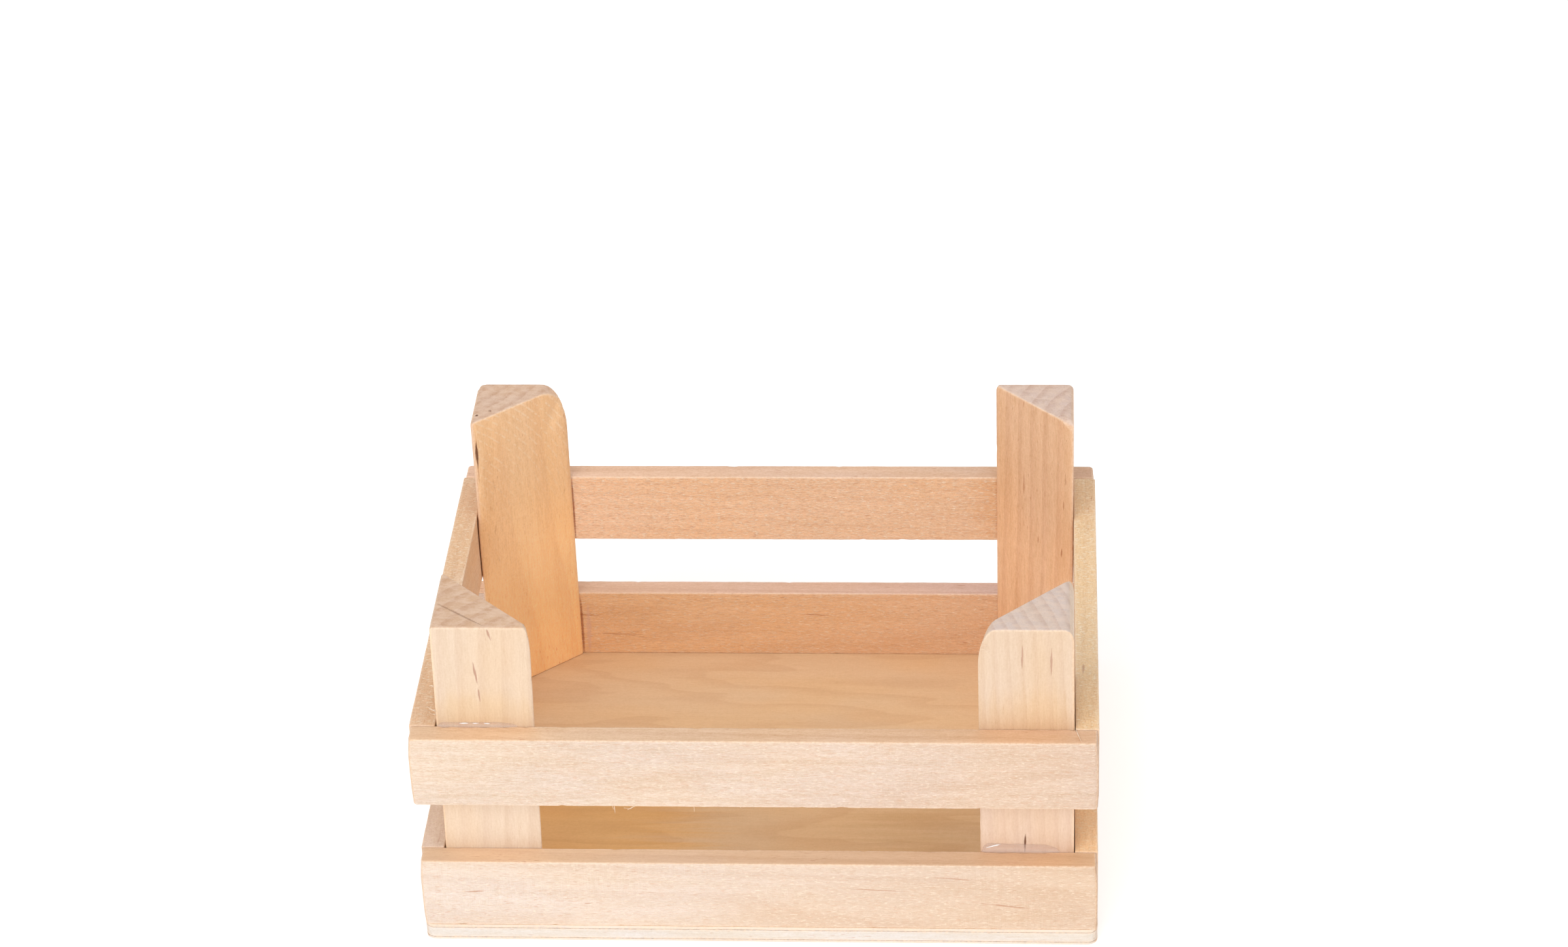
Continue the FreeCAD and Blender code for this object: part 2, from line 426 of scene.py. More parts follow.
def vessel_flecks(shader, place):
    """Sparse thin dark dashes along the grain, 1 to 3 mm long."""
    dashes = board_noise(shader, place, along=0.5, across=4.6, detail=1.0)
    clusters = board_noise(shader, place, along=0.05, across=0.16, detail=1.0)
    return shader.product(shader.fade(dashes, 0.66, 0.78), shader.fade(clusters, 0.42, 0.62))


def sawn_fuzz(shader, place):
    """Tiny raised light fibres on a sawn face."""
    hairs = board_noise(shader, place, along=0.9, across=5.2, roughness=0.6, distortion=0.4)
    return shader.fade(hairs, 0.49, 0.7)


def torn_fibres(shader, place):
    """Tiny darker dashes between the raised fibres of a sawn face."""
    dashes = board_noise(shader, place, along=0.6, across=6.0, roughness=0.6, distortion=0.3)
    return shader.fade(dashes, 0.52, 0.7)


def cross_hairs(shader, place):
    """Short raised hairs that lie across the grain, on a roughly cut narrow side."""
    hairs = board_noise(shader, place, along=3.8, across=1.2, roughness=0.6, distortion=0.6)
    return shader.fade(hairs, 0.5, 0.66)


def fine_grit(shader, place):
    """Even fine speckle, centred on 0."""
    speckle = board_noise(shader, place, along=2.0, across=2.8, detail=3.0, roughness=0.7)
    return shader.calc("SUBTRACT", speckle, 0.5)


def saw_chatter(shader, place):
    """Faint marks straight across the grain, in patches."""
    lines = board_noise(shader, place, along=3.6, across=0.35)
    patches = board_noise(shader, place, along=0.05, across=0.12, detail=1.0)
    return shader.product(shader.calc("SUBTRACT", lines, 0.5), shader.fade(patches, 0.45, 0.65))


# The round blade's centre lies this far up the post and this far off its long side. Its rows begin to
# show at the first height above the centre, and show fully at the second.
BLADE_UP = 25.0
BLADE_OFF = 42.0
BLADE_ROW_GAP = 1.5
BLADE_ROWS_SHOW = (8.0, 40.0)


def saw_arcs(shader, grain):
    """Curved rows of light flecks that a round blade leaves across a post's long side."""
    x, y, z = shader.split(shader.move(grain, (-BLADE_UP, 0.0, 0.0)))
    aside = shader.product(shader.calc("SUBTRACT", y, z), math.sqrt(0.5))
    radius = shader.length(shader.join(x, shader.calc("ADD", aside, BLADE_OFF), 0.0))
    turn = shader.calc("SINE", shader.product(radius, 2 * math.pi / BLADE_ROW_GAP))
    broken = board_noise(shader, grain, along=1.2, across=0.9)
    upper = shader.fade(x, *BLADE_ROWS_SHOW)
    return shader.product(shader.fade(turn, 0.4, 1.0), shader.fade(broken, 0.42, 0.62), upper)


# How much a mark narrows towards its ends, how much the streaks fray it, and where its edge fades.
MARK_TAPER = 2.6
MARK_FRAY = 1.4
MARK_EDGE = (0.3, 1.0)


def local_mark(shader, grain, streak, start, end, width):
    """A soft-edged line from start to end in the piece, tapered, and broken up by the streaks."""
    along = Vector(end) - Vector(start)
    offset = shader.move(grain, tuple(-value for value in start))
    share = shader.calc("DIVIDE", shader.dot(offset, tuple(along)), along.length_squared)
    held = shader.node("Clamp", {"Value": share}).outputs[0]
    nearest = shader.scale(shader.join(held, held, held), tuple(along))
    away = shader.calc("DIVIDE", shader.length(shader.take(offset, nearest)), width)
    off_centre = shader.calc("ABSOLUTE", shader.calc("SUBTRACT", held, 0.5))
    taper = shader.product(shader.calc("POWER", off_centre, 2.0), MARK_TAPER)
    ragged = shader.total(away, taper, shader.product(streak, MARK_FRAY))
    return shader.fade(ragged, *MARK_EDGE, 1.0, 0.0)


class Board:
    """What the steps of the wood material share: the look, the place in the wood, and the patterns on it."""

    def __init__(self, shader, number, look):
        self.shader = shader
        self.look = look
        self.grain = shader.layer("grain")
        self.sawn, self.end, self.worn = shader.split(shader.layer("finish"))
        self.place = shader.move(self.grain, tuple(step * number for step in BOARD_STEPS))
        not_sawn = shader.calc("SUBTRACT", 1.0, self.sawn)
        self.narrow = shader.product(not_sawn, shader.calc("SUBTRACT", 1.0, self.end))
        self.fine, self.broad = fibre_streaks(shader, self.place)
        self.grit = fine_grit(shader, self.place)
        self.fuzz = shader.product(sawn_fuzz(shader, self.place), self.sawn)
        self.chatter = shader.product(saw_chatter(shader, self.place), self.sawn)
        self.hairs = shader.product(cross_hairs(shader, self.place), self.narrow, look["rough_side"])
        self.torn = shader.product(torn_fibres(shader, self.place), self.sawn, 0.4 * look["fuzz"])


def wood_base(board, length):
    """The colour of each kind of face, with rosy patches, the drift along the board, and its broad patches.
    The drift is partly painted light, and the patches are partly painted shade and reflected light.
    """
    shader, look = board.shader, board.look
    colour = shader.mix(board.sawn, look["side"], look["face"])
    colour = shader.mix(board.end, colour, look["end"])
    patches = board_noise(shader, board.place, along=0.03, across=0.09)
    rosy = shader.mix(shader.fade(patches, 0.35, 0.65), COOL_WOOD, ROSY_WOOD)
    colour = shader.mix(look["blotch"], colour, rosy, "MULTIPLY")
    # Partly painted light: the board grows lighter or darker from one end to the other.
    drift = shader.mix(shader.fade(shader.split(board.grain)[0], 0.0, length), *look["drift"])
    colour = shader.mix(1.0, colour, drift, "MULTIPLY")
    # Broad patches: some are real stains, some are painted shade and painted warm reflected light.
    for centre, reach, tone in look["stains_and_painted_light"]:
        offset = shader.move(board.grain, tuple(-value for value in centre))
        away = shader.length(shader.scale(offset, tuple(1 / value for value in reach)))
        spread = shader.fade(shader.total(away, shader.product(board.broad, 0.9)), 0.35, 1.1, 1.0, 0.0)
        colour = shader.mix(spread, colour, tone, "MULTIPLY")
    return colour


def wood_figure(board, colour):
    """The growth rings, and the shade that streaks, grit and saw chatter give."""
    shader, look = board.shader, board.look
    strength = shader.fade(board.end, 0.0, 1.0, look["rings"], look["end_rings"])
    rings = shader.product(growth_rings(shader, board.grain, look), strength)
    colour = shader.mix(rings, colour, LATE_WOOD, "MULTIPLY")
    shade = shader.total(
        shader.product(board.fine, 0.36 * look["streaks"]),
        shader.product(board.broad, 0.2 * look["streaks"]),
        shader.product(board.grit, 0.24 * look["grit"]),
        shader.product(board.grit, board.narrow, 0.34 * look["rough_side"]),
        shader.product(board.chatter, 0.5 * look["chatter"]),
    )
    warm_shade = shader.join(*(shader.total(1.0, shader.product(shade, share)) for share in WARMTH))
    return shader.mix(1.0, colour, warm_shade, "MULTIPLY")


def wood_fibres(board, colour):
    """The flecks, the torn and raised fibres, and the pale smears on end grain."""
    shader, look = board.shader, board.look
    fleck = shader.product(vessel_flecks(shader, board.place), look["fleck"])
    colour = shader.mix(fleck, colour, RED_BROWN)
    colour = shader.mix(board.torn, colour, TORN_WOOD)
    colour = shader.mix(shader.product(board.fuzz, 0.42 * look["fuzz"]), colour, RAISED_FIBRE)
    colour = shader.mix(shader.product(board.hairs, 0.5), colour, CROSS_FIBRE)
    smears = shader.noise(shader.scale(board.place, (0.4, 0.5, 0.9)), 4.0, 0.6)
    smeared = shader.product(board.end, shader.fade(smears, 0.4, 0.65), 0.38)
    return shader.mix(smeared, colour, END_SMEAR)


def wood_marks(board, colour, height):
    """The saw's arcs and the lone marks. Each colours the wood and adds to the list of heights."""
    shader, look = board.shader, board.look
    if look["arcs"]:
        arcs = shader.product(saw_arcs(shader, board.grain), board.sawn, look["arcs"])
        colour = shader.mix(shader.product(arcs, 0.5), colour, SAW_FLECK)
        height.append(arcs)
    for start, finish, width, strength, tone in look["marks"]:
        mark = local_mark(shader, board.grain, board.fine, start, finish, width)
        spot = shader.product(mark, strength)
        colour = shader.mix(spot, colour, tone)
        height.append(shader.product(spot, -1.5))
    return colour


def wood_edges(board, colour):
    """The dark glue line between plies, and edges made pale in places: partly rubbed wear, partly a painted
    highlight.
    """
    shader = board.shader
    for level in board.look["joints"]:
        away = shader.calc("ABSOLUTE", shader.calc("SUBTRACT", shader.split(board.grain)[2], level))
        line = shader.fade(shader.calc("ADD", away, shader.product(board.fine, 0.08)), 0.02, 0.13, 1.0, 0.0)
        colour = shader.mix(shader.product(line, 0.62), colour, PLY_JOINT)
    nibbled = board_noise(shader, board.place, along=1.6, across=1.6, detail=3.0, roughness=0.6)
    rubbed = shader.fade(nibbled, 0.3, 0.7, 0.1, 0.7)
    # Partly rubbed wear, partly a painted highlight along the edges.
    edge_wear_and_highlight = shader.product(board.worn, rubbed, shader.fade(board.end, 0.0, 1.0, 1.0, 0.6))
    return shader.mix(edge_wear_and_highlight, colour, EDGE_WEAR_AND_HIGHLIGHT)


def wood_material(name, number, length, **changes):
    """Bare pale wood. The number picks the part of the board that the piece is cut from."""
    look = {**WOOD, **changes}
    shader = Shader(name)
    board = Board(shader, number, look)
    height = [
        shader.product(board.fine, 0.5),
        shader.product(board.fuzz, look["fuzz"]),
        board.chatter,
        board.hairs,
        shader.product(board.torn, -0.8),
        shader.product(board.grit, 0.5 * look["grit"]),
    ]
    colour = wood_base(board, length)
    colour = wood_figure(board, colour)
    colour = wood_fibres(board, colour)
    colour = wood_marks(board, colour, height)
    colour = wood_edges(board, colour)
    rough = shader.total(
        0.52,
        shader.product(board.sawn, 0.2),
        shader.product(board.end, 0.16),
        shader.product(board.fine, 0.3),
    )
    bump = shader.node("Bump", {"Strength": 0.55, "Distance": 0.07 * MM, "Height": shader.total(*height)})
    shader.set(Base_Color=colour, Roughness=rough, Normal=bump.outputs[0], Specular_IOR_Level=0.35)
    return shader.material


# Start, end and width of each glint on the glue, in millimetres in the crate's frame: painted highlights,
# white and less clear than the rest of the skin.
GLUE_PAINTED_GLINTS = (
    ((43.6, -43.15, 20.0), (46.8, -43.1, 20.9), 0.22),
    ((43.5, -43.6, 19.25), (45.7, -43.6, 19.25), 0.24),
    ((52.4, -43.1, 20.7), (53.2, -43.1, 20.9), 0.12),
    ((55.6, -43.1, 20.6), (57.2, -43.1, 20.4), 0.13),
    ((-55.6, -43.1, 48.68), (-53.4, -43.1, 48.74), 0.17),
    ((-52.8, -43.1, 48.72), (-51.2, -43.1, 48.76), 0.18),
    ((-50.8, -43.1, 48.76), (-49.4, -43.1, 48.66), 0.16),
    ((-52.4, -43.3, 48.4), (-50.4, -43.3, 48.4), 0.12),
)


def glue_material():
    """Dried clear wood glue: a glossy, nearly clear skin with a milky tint, small bubbles, and painted white
    highlights where it glints.
    """
    shader = Shader("dried_glue")
    place = shader.object_place()
    cloud = board_noise(shader, place, along=0.7, across=2.2, detail=3.0)
    bubbles = board_noise(shader, place, along=4.0, across=5.0, detail=1.0)
    colour = shader.mix(shader.fade(cloud, 0.35, 0.65), tint(255, 240, 232), tint(246, 222, 214))
    ragged = shader.calc("SUBTRACT", cloud, 0.5)
    painted_glint = 0.0
    for start, end, width in GLUE_PAINTED_GLINTS:
        painted_glint = shader.calc("MAXIMUM", painted_glint, local_mark(shader, place, ragged, start, end, width))
    # Painted highlights: the glints are white in the colour, and the skin is less clear there.
    colour = shader.mix(painted_glint, colour, WHITE)
    height = shader.total(cloud, shader.product(shader.fade(bubbles, 0.62, 0.72), -0.5))
    bump = shader.node("Bump", {"Strength": 0.4, "Distance": 0.15 * MM, "Height": height})
    shader.set(Base_Color=colour, Normal=bump.outputs[0])
    shader.set(Alpha=shader.fade(painted_glint, 0.0, 1.0, 0.16, 0.9))
    shader.set(Roughness=0.22, Coat_Weight=0.3, Coat_Roughness=0.1)
    return shader.material


def fibre_material():
    """Loose wood fibres: paler than the board that they come from, and slightly uneven along their length."""
    shader = Shader("loose_fibres")
    place = shader.object_place()
    uneven = board_noise(shader, place, along=1.2, across=1.2)
    colour = shader.mix(shader.fade(uneven, 0.35, 0.65), tint(250, 232, 212), tint(240, 208, 178))
    shader.set(Base_Color=colour, Roughness=shader.fade(uneven, 0.2, 0.8, 0.5, 0.8))
    shader.set(Specular_IOR_Level=0.3)
    return shader.material


# ---- slats


def node_corners(node):
    """The low and high corners of a CAD node in millimetres."""
    low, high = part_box(node)
    return np.array(low) / MM, np.array(high) / MM


RADIUS_LIMITS = (0.1, 0.75)


def ragged_radius(points, seed, base, unevenness):
    """The rounding of a cut edge along its length: small, uneven, and with a few larger chips."""
    wander = ripple(points, 3.0, seed) + 0.7 * ripple(points, 1.1, seed + 1)
    chips = smoothstep(ripple(points, 1.6, seed + 2), 0.42, 0.6)
    return np.clip(base + unevenness * (wander + 3 * chips), *RADIUS_LIMITS)


# How far apart the seeds of two pieces' edges are. Each piece uses three.
EDGE_SEEDS = 10

SLAT_STEP = 0.8
SLAT_CROSS_STEP = 0.9
SLAT_EDGE = 0.22
SLAT_UNEVEN = 0.1

# The long slats' outer upright corners have this radius. It fades out over these depths into the slat.
OUTER_CORNER = 0.9
OUTER_DEPTHS = (1.2, 2.4)

# The power that keeps a piece flat up to its ends: the higher, the nearer to the end the bow begins.
SLAT_END_POWER = 25
PLY_END_POWER = 31

# A slat that is thicker towards its low end: by how much, and where that starts to fall off and stops.
SWELLS = {"upper_left_slat": (0.5, -40.0, -22.0)}


def slat_axes(side):
    """The axes of a slat's length and of its thickness."""
    return (X, Y) if side in ("front", "back") else (Y, X)


def wear_slat(points, low, high, run, thick, number):
    """Wide faces that are not quite flat, and ends that bow, but hardly where a side slat meets wood.
    Gives back each point's place in the block before the wear."""
    share = block_share(points, low, high)
    stretched = points * np.array([1, 0.3, 1])
    wave = 0.04 + 0.04 * ripple(stretched, 22.0, number) + 0.015 * ripple(points, 2.0, number)
    points[:, thick] -= share[:, thick] * wave
    bow = 0.03 + 0.02 * ripple(points, 4.0, number)
    if run == X:
        bow += 0.05 + 0.45 * smoothstep(share[:, Z], 0.3, 1.2) + 0.2 * smoothstep(-share[:, Z], 0.5, 1.2)
    points[:, run] -= share[:, run] ** SLAT_END_POWER * bow
    return share


def make_slat(level, side, number):
    """A slat, with its two wide faces sawn and its ends cut square. The long ones have rounded outer ends."""
    node = level + "_" + side + "_slat"
    low, high = node_corners(node)
    run, thick = slat_axes(side)
    lines = [None, None, None]
    lines[run] = grid_lines(low[run], high[run], SLAT_STEP, ROUND_LINES)
    lines[thick] = grid_lines(low[thick], high[thick], SLAT_CROSS_STEP, SLAT_DEPTH_LINES)
    lines[Z] = grid_lines(low[Z], high[Z], SLAT_CROSS_STEP, EDGE_LINES)
    points, faces = lattice(*lines)
    edge_gap = block_edge_distance(points, low, high)
    radius = ragged_radius(points, EDGE_SEEDS * number, SLAT_EDGE, SLAT_UNEVEN)
    corner = radius + CORNER_SPARE
    if run == X:
        outer = high[Y] - points[:, Y] if side == "back" else points[:, Y] - low[Y]
        corner = np.maximum(corner, OUTER_CORNER * (1 - smoothstep(outer, *OUTER_DEPTHS)))
    points = soften_block(points, low, high, corner, radius)
    share = wear_slat(points, low, high, run, thick, number)
    if node in SWELLS:
        amount, start, finish = SWELLS[node]
        inward = -np.sign(low[thick] + high[thick])
        inner = np.clip(share[:, thick] * inward, 0, 1)
        points[:, thick] += inward * inner * amount * (1 - smoothstep(points[:, run], start, finish))
    material = wood_material(node, number, high[run] - low[run], **SLAT_LOOKS.get(node, {}))
    piece = make_mesh(node + "_wood", points, faces, material, [node])
    order = [run, thick, Z]
    add_wood_layers(piece, (points - low)[:, order], order, np.eye(3)[thick], edge_gap)
    return piece


SLAT_LOOKS = {
    "upper_front_slat": {
        "face": tint(222, 196, 174), "heart": (0.0, 60.0, -14.0), "streaks": 1.5, "grit": 1.6,
        "drift": (gain(1.02, 1.1, 1.17), gain(0.94, 0.94, 0.96)),
    },
    "lower_front_slat": {
        "face": tint(225, 200, 178), "side": tint(230, 192, 156), "heart": (0.0, 30.0, 2.0),
        "drift": (gain(1.02, 1.11, 1.22), gain(0.93, 0.91, 0.88)), "chatter": 0.4,
        "marks": (
            ((8.0, 0.0, 8.0), (13.0, 0.0, 8.4), 0.22, 0.5, RED_BROWN),
            ((82.0, 0.0, 9.6), (94.0, 0.0, 9.0), 0.2, 0.45, RED_BROWN),
            ((107.0, 0.0, 6.4), (118.0, 0.0, 5.0), 0.22, 0.5, RED_BROWN),
            ((98.0, 0.0, 12.6), (107.0, 0.0, 11.9), 0.18, 0.45, RED_BROWN),
        ),
    },
    "upper_back_slat": {
        # The paler, pinker narrow sides are a painted sheen on the top, seen at a glancing angle.
        "face": tint(235, 196, 162), "side": tint(221, 185, 160), "heart": (0.0, -18.0, 24.0),
        "drift": (gain(1.16, 1.17, 1.17), gain(1.02, 1.02, 1.0)), "fuzz": 2.0, "grit": 2.2,
        # A broad patch, warmer and darker towards the slat's right end.
        "streaks": 1.3, "stains_and_painted_light": (((113.0, 0.0, 8.0), (9.0, 9.0, 16.0), gain(0.97, 0.88, 0.76)),),
        # A painted shadow: a dark line on the slat along the back left post's edge, where the gap between
        # them lies in shade.
        "marks": (((22.3, 0.0, -0.6), (22.35, 0.0, 15.4), 0.3, 0.7, RED_BROWN),),
    },
    "lower_back_slat": {
        # The paler, pinker narrow sides are a painted sheen on the top, seen at a glancing angle.
        "face": tint(228, 187, 148), "side": tint(225, 190, 169), "heart": (0.0, 24.0, -9.0),
        "drift": (gain(1.2, 1.17, 1.04), gain(1.05, 1.06, 1.14)), "fuzz": 1.3, "grit": 1.6,
        "streaks": 1.3, "fleck": 0.8,
        "marks": (
            ((21.0, 0.0, 9.8), (26.5, 0.0, 9.6), 0.2, 0.55, RED_BROWN),
            ((68.0, 0.0, 10.2), (75.0, 0.0, 9.8), 0.2, 0.55, RED_BROWN),
            ((25.0, 0.0, 5.0), (36.0, 0.0, 4.8), 0.2, 0.5, RED_BROWN),
            # A painted shadow: a dark line on the slat along the back left post's edge, where the gap between
            # them lies in shade.
            ((22.35, 0.0, -0.6), (22.35, 0.0, 14.4), 0.4, 0.75, RED_BROWN),
            ((23.6, 0.0, 0.0), (23.8, 0.0, 12.6), 0.7, 0.5, PALE_SMEAR),
        ),
    },
    "lower_left_slat": {"side": tint(230, 208, 192), "rough_side": 0.6},
    "upper_left_slat": {
        "face": tint(238, 204, 168), "side": tint(228, 192, 158), "rough_side": 1.0, "blotch": 1.0,
    },
    # The sides are painted brighter than the wood: painted light on the top, which lies in shade under the
    # upper slat.
    "lower_right_slat": {"side": tint(250, 210, 164), "rough_side": 0.8},
    "upper_right_slat": {
        "face": tint(234, 206, 174), "side": tint(237, 204, 162), "rough_side": 1.2,
        "marks": (((17.5, 1.5, 15.4), (21.0, 1.6, 15.4), 0.35, 0.55, MAUVE_BROWN),),
    },
}


# ---- posts

POST_WANDER = 3.0
POST_EDGE = 0.3
POST_UNEVEN = 0.016
POST_SPARE = 0.01
POST_STEP = 1.0
POST_RISE_STEP = 1.1

# The shoulders are taller than they are wide, so the grid lines near a post's ends lie further apart.
POST_END_LINES = SHOULDER_LINES * 1.6

# What the CAD's cut tips take off each leg of the triangle.
TIP_LOSS = 0.45

# Where the extra rounding of the corner fades out, and where that of the thin edge fades in, along the leg
# and up the post, just above the upper slats.
CORNER_REACH = (3.0, 8.0)
THIN_EDGE_SHARES = (0.5, 0.8)
THIN_EDGE_HEIGHTS = (40.0, 47.0)

# The width and height of the worn place at the top of each upright edge: tip is the end of the leg along
# X, and far_tip of the leg along Y.
POST_SHOULDERS = {
    "post_front_left": {"tip": (1.1, 6.5), "corner": (0.6, 0.6)},
    "post_front_right": {"tip": (3.4, 8.4), "corner": (1.8, 3.0)},
    "post_back_left": {"tip": (4.6, 10.0), "corner": (1.0, 1.0)},
    "post_back_right": {"tip": (0.8, 1.4), "far_tip": (2.6, 6.0), "corner": (1.2, 1.2)},
}

# Extra rounding of a post's right-angled corner, and of the upright edge at the end of its leg along Y.
CORNER_ROUND = {"post_back_left": 1.5}
THIN_EDGE = {"post_back_left": 0.35}

POST_LOOKS = {
    "post_front_left": {
        "face": tint(236, 200, 162), "side": tint(226, 199, 173), "end": tint(215, 177, 146),
        "streaks": 0.75, "fleck": 0.25, "fuzz": 0.2, "heart": (0.0, -26.0, 11.0),
        "drift": (gain(1.05, 1.11, 1.15), gain(0.98, 1.01, 1.02)),
        # Painted warm reflected light: the face grows warmer just above the upper slat.
        "stains_and_painted_light": (((47.0, 9.0, 0.0), (6.0, 16.0, 16.0), gain(1.0, 0.96, 0.87)),), "ring_gap": 3.4,
        "marks": (
            ((67.0, 10.7, 0.0), (64.2, 11.4, 0.0), 0.3, 0.75, MAUVE_BROWN),
            ((59.6, 7.7, 0.0), (54.0, 8.4, 0.0), 0.3, 0.8, MAUVE_BROWN),
            ((53.2, 8.4, 0.0), (50.0, 8.7, 0.0), 0.22, 0.7, MAUVE_BROWN),
            ((67.0, 0.0, 8.3), (67.0, 10.4, 0.4), 0.32, 0.4, DARK_BROWN),
        ),
    },
    "post_front_right": {
        "face": tint(236, 200, 162), "side": tint(222, 196, 170), "streaks": 0.75, "fleck": 0.25,
        "fuzz": 0.2, "end": tint(215, 196, 186), "heart": (0.0, -70.0, 18.0),
        "drift": (gain(1.05, 1.04, 1.12), gain(0.99, 0.99, 0.98)),
        # Painted warm reflected light: the face grows warmer just above the upper slat.
        "stains_and_painted_light": (((45.0, 9.0, 0.0), (10.0, 16.0, 16.0), gain(1.01, 0.96, 0.86)),),
        "ring_gap": 2.3, "end_rings": 0.2,
        "marks": (
            ((63.5, 9.6, 0.0), (58.4, 9.7, 0.0), 0.26, 0.65, MAUVE_BROWN),
            ((63.0, 4.2, 0.0), (56.5, 4.3, 0.0), 0.26, 0.65, MAUVE_BROWN),
            ((19.6, 9.3, 0.0), (15.2, 9.4, 0.0), 0.3, 0.95, DARK_BROWN),
        ),
    },
    "post_back_left": {
        "face": tint(244, 203, 155), "end": tint(215, 182, 155), "heart": (0.0, 22.0, 16.0),
        "drift": (gain(1.27, 1.23, 1.08), gain(1.02, 1.03, 1.07)), "grit": 1.5, "rings": 0.12,
        "arcs": 0.95, "fuzz": 0.3,
        "marks": (
            ((65.0, 0.95, 14.7), (52.0, 0.95, 14.7), 0.26, 0.5, RED_BROWN),
            ((62.6, 0.95, 14.7), (56.0, 0.95, 14.7), 0.42, 0.9, DARK_BROWN),
            ((67.0, 0.9, 12.2), (67.0, 1.4, 11.9), 0.5, 0.9, DARK_BROWN),
            ((67.0, 3.3, 10.4), (67.0, 3.9, 10.3), 0.4, 0.7, DARK_BROWN),
        ),
    },
    "post_back_right": {
        "face": tint(235, 194, 155), "end": tint(219, 194, 178), "heart": (0.0, 20.0, -18.0),
        "drift": (gain(1.06, 1.07, 1.12), gain(0.97, 0.96, 0.97)), "streaks": 1.4, "grit": 1.3,
        "marks": (
            ((49.9, 9.9, 6.0), (43.5, 10.0, 5.9), 0.3, 0.5, RED_BROWN),
            ((67.0, 10.0, 5.9), (65.0, 10.1, 5.8), 0.25, 0.45, RED_BROWN),
            ((36.3, 7.0, 8.9), (34.1, 7.1, 8.8), 0.26, 0.55, RED_BROWN),
            ((36.4, 2.3, 13.6), (34.0, 2.4, 13.5), 0.32, 0.65, RED_BROWN),
            ((48.0, 2.0, 13.9), (45.8, 2.0, 13.9), 0.26, 0.45, RED_BROWN),
        ),
        "rings": 0.17, "ring_gap": 3.4, "arcs": 0.12, "fuzz": 0.25,
    },
}


def post_measures(node):
    """A post's right-angled corner, the way that its legs point, their lengths, its height and its lean."""
    points = np.array([vertex.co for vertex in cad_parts[node].data.vertices]) / MM
    low, high = points.min(axis=0), points.max(axis=0)
    foot = points[points[:, Z] < low[Z] + 0.01]
    head = points[points[:, Z] > high[Z] - 0.01]
    inward = np.where(low[:2] + high[:2] < 0, 1.0, -1.0)
    corner = np.where(inward > 0, foot.min(axis=0)[:2], foot.max(axis=0)[:2])
    legs = np.ptp(foot, axis=0)[:2] + TIP_LOSS
    head_corner = head[:, X].min() if inward[X] > 0 else head[:, X].max()
    lean = (head_corner - corner[X]) * inward[X]
    return corner, inward, legs, low[Z], high[Z] - low[Z], lean


def wear_top(points, height, shoulders):
    """Cuts the worn shoulders into a post's top, at the ends of its legs and at its right-angled corner."""
    down = height - points[:, Z]
    for axis, place in ((X, "tip"), (Y, "far_tip")):
        if place in shoulders:
            far = points[:, axis].max()
            across, down = shoulder(far - points[:, axis], down, *shoulders[place])
            points[:, axis] = far - across
    points[:, X], down = shoulder(points[:, X], down, *shoulders["corner"])
    points[:, Z] = height - down


def post_outline(points, legs, height, node, number):
    """A post's softened prism, with its corner at the origin, and how far its points are from an edge."""
    hypotenuse = math.hypot(*legs)
    beyond = (1 - points[:, X] / legs[X] - points[:, Y] / legs[Y]) * legs[X] * legs[Y] / hypotenuse
    from_end = np.minimum(points[:, Z], height - points[:, Z])
    edge_gap = edge_distance(points[:, X], points[:, Y], beyond, from_end)
    radius = ragged_radius(points, EDGE_SEEDS * number, POST_EDGE, POST_UNEVEN)
    near_corner = 1 - smoothstep(points[:, X] + points[:, Y], *CORNER_REACH)
    free = smoothstep(points[:, Z], *THIN_EDGE_HEIGHTS)
    near_y = smoothstep(points[:, Y] / legs[Y], *THIN_EDGE_SHARES) * free
    upright = radius + POST_SPARE
    upright += CORNER_ROUND.get(node, 0.0) * near_corner + THIN_EDGE.get(node, 0.0) * near_y
    return soften(points, partial(triangle_inside, legs=legs), 0.0, height, upright, radius), edge_gap


def make_post(node, number):
    """A corner post: a batten of triangular section, sawn along its long side, with a worn top."""
    corner, inward, legs, bottom, height, lean = post_measures(node)
    leg_lines = [grid_lines(0.0, leg, POST_STEP, EDGE_LINES, SHOULDER_LINES) / leg for leg in legs]
    points, faces = lattice(*leg_lines, grid_lines(0.0, height, POST_RISE_STEP, EDGE_LINES, POST_END_LINES))
    share_x, share_y = points[:, X].copy(), points[:, Y].copy()
    points[:, X] = legs[X] * share_x * (1 - share_y / 2)
    points[:, Y] = legs[Y] * share_y * (1 - share_x / 2)
    points, edge_gap = post_outline(points, legs, height, node, number)
    wear_top(points, height, POST_SHOULDERS[node])
    points[:, :2] += (0.03 + 0.03 * ripple(points, 9.0, number))[:, None] * (1 - points[:, :2] / legs.max())
    grain = points[:, [Z, X, Y]]

    points[:, X] += lean * points[:, Z] / height
    points[:, :2] = corner + inward * points[:, :2]
    points[:, Z] += bottom
    if inward[X] * inward[Y] < 0:
        faces = [face[::-1] for face in faces]
    material = wood_material(node, number, height, wander=POST_WANDER, **POST_LOOKS[node])
    piece = make_mesh(node + "_wood", points, faces, material, [node])
    sawn_side = np.append(inward * legs[::-1], 0.0) / math.hypot(*legs)
    add_wood_layers(piece, grain, [Z, X, Y], sawn_side, edge_gap)
    return piece


# ---- base

PLY_CORNER = 2.0
PLY_STEP = 2.0
PLY_RISE_STEP = 0.6
PLY_EDGE = 0.09
PLY_UNEVEN = 0.04
PLY_RADIUS_LIMITS = (0.04, 0.16)
VENEER_MOST = 1.0

